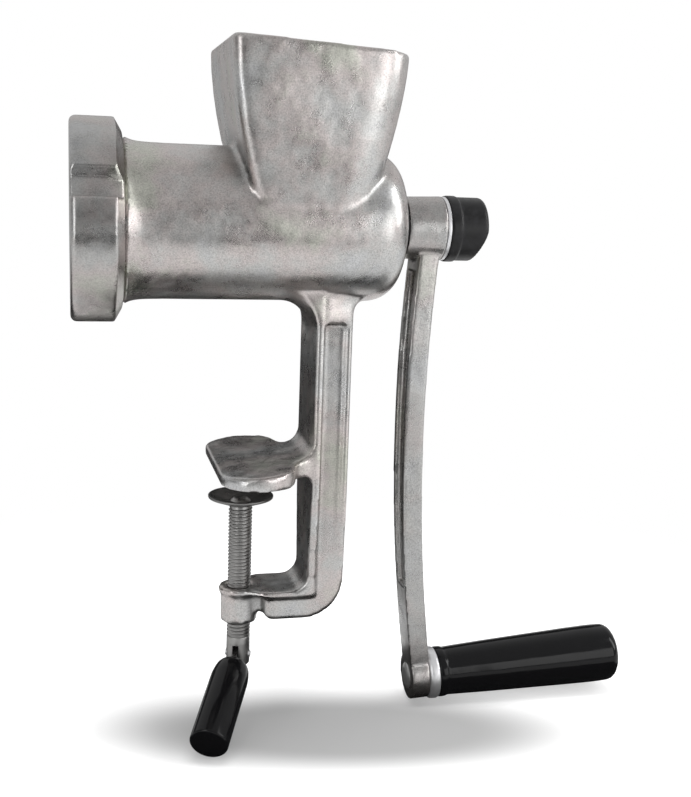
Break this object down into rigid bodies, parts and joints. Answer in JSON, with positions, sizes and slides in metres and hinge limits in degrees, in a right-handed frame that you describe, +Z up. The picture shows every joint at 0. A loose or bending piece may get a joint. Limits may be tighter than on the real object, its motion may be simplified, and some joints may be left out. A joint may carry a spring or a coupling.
{
  "type": "meat grinder",
  "caption": "Hand-cranked table-clamp meat grinder: cast body with hopper, feed screw, knife, perforated plate, ring nut, bowed crank with turning grip, and a clamp screw.",
  "frame": {"origin": "point where the clamp screw's axis meets the underside of the upper jaw, which rests on the table top", "axes": "+Z up; +X along the barrel, from the ring nut towards the crank; +Y across the barrel, away from the picture's side"},
  "size_m": [0.2411, 0.0854, 0.2756],
  "materials": {
    "cast_aluminium": "tumbled casting, satin with fine mottling",
    "machined_aluminium": "turned and tumbled, smoother satin",
    "steel": "ground",
    "bright_steel": "plated, bright",
    "dark_steel": "zinc plated, slightly dull",
    "gloss_black_plastic": "polished moulding",
    "black_polymer": "semi-matte moulding"
  },
  "bodies": {
    "housing": {"body": "cast_aluminium", "bush": "black_polymer", "plate_key": "steel"},
    "feed_screw": {"auger": "cast_aluminium", "auger_pin": "steel", "knife": "steel"},
    "crank_arm": {"crank": "cast_aluminium", "crank_washer": "bright_steel", "grip_axle": "steel", "grip_collar": "bright_steel", "grip_end_washer": "bright_steel"},
    "crank_screw": {"crank_screw_stud": "steel", "crank_screw_knob": "black_polymer"},
    "handle": {"grip": "gloss_black_plastic"},
    "cutting_plate": {"plate": "steel"},
    "nut": {"ring_nut": "machined_aluminium"},
    "cup": {"pressure_cup": "dark_steel"},
    "screw": {"clamp_screw": "dark_steel", "lever_pin": "bright_steel"},
    "lever": {"lever_tongue": "steel", "lever_grip": "gloss_black_plastic"}
  },
  "joints": [
    {"name": "crank_spin", "type": "hinge", "parent": "housing", "child": "feed_screw", "pos_m": [0, 0, 0.1], "axis": [1, 0, 0], "continuous": true},
    {"name": "crank_off", "type": "slide", "parent": "feed_screw", "child": "crank_arm", "axis": [1, 0, 0], "range_m": [0, 0.0075]},
    {"name": "crank_screw_turn", "type": "hinge", "parent": "crank_arm", "child": "crank_screw", "pos_m": [0.09, 0, 0.1], "axis": [1, 0, 0], "range_deg": [0, 2160]},
    {"name": "handle_spin", "type": "hinge", "parent": "crank_arm", "child": "handle", "pos_m": [0.0755, 0, -0.096], "axis": [0.9986, 0, 0.0523], "continuous": true},
    {"name": "plate_slide", "type": "slide", "parent": "housing", "child": "cutting_plate", "axis": [-1, 0, 0], "range_m": [0, 0.012]},
    {"name": "nut_turn", "type": "hinge", "parent": "cutting_plate", "child": "nut", "pos_m": [-0.058, 0, 0.1], "axis": [-1, 0, 0], "range_deg": [0, 1440]},
    {"name": "clamp_travel", "type": "slide", "parent": "housing", "child": "cup", "axis": [0, 0, 1], "range_m": [-0.03, 0.01]},
    {"name": "screw_turn", "type": "hinge", "parent": "cup", "child": "screw", "pos_m": [0, 0, -0.05], "axis": [0, 0, 1], "range_deg": [-7200, 2400]},
    {"name": "lever_fold", "type": "hinge", "parent": "screw", "child": "lever", "pos_m": [0, 0, -0.0805], "axis": [0.9272, -0.3746, 0], "range_deg": [-22, 158]}
  ],
  "couplings": [
    {"joint": "crank_screw_turn", "follows": "crank_off", "rad_per_m": 5026.5},
    {"joint": "plate_slide", "follows": "nut_turn", "m_per_rad": 0.00047746},
    {"joint": "clamp_travel", "follows": "screw_turn", "m_per_rad": 0.00023873}
  ]
}
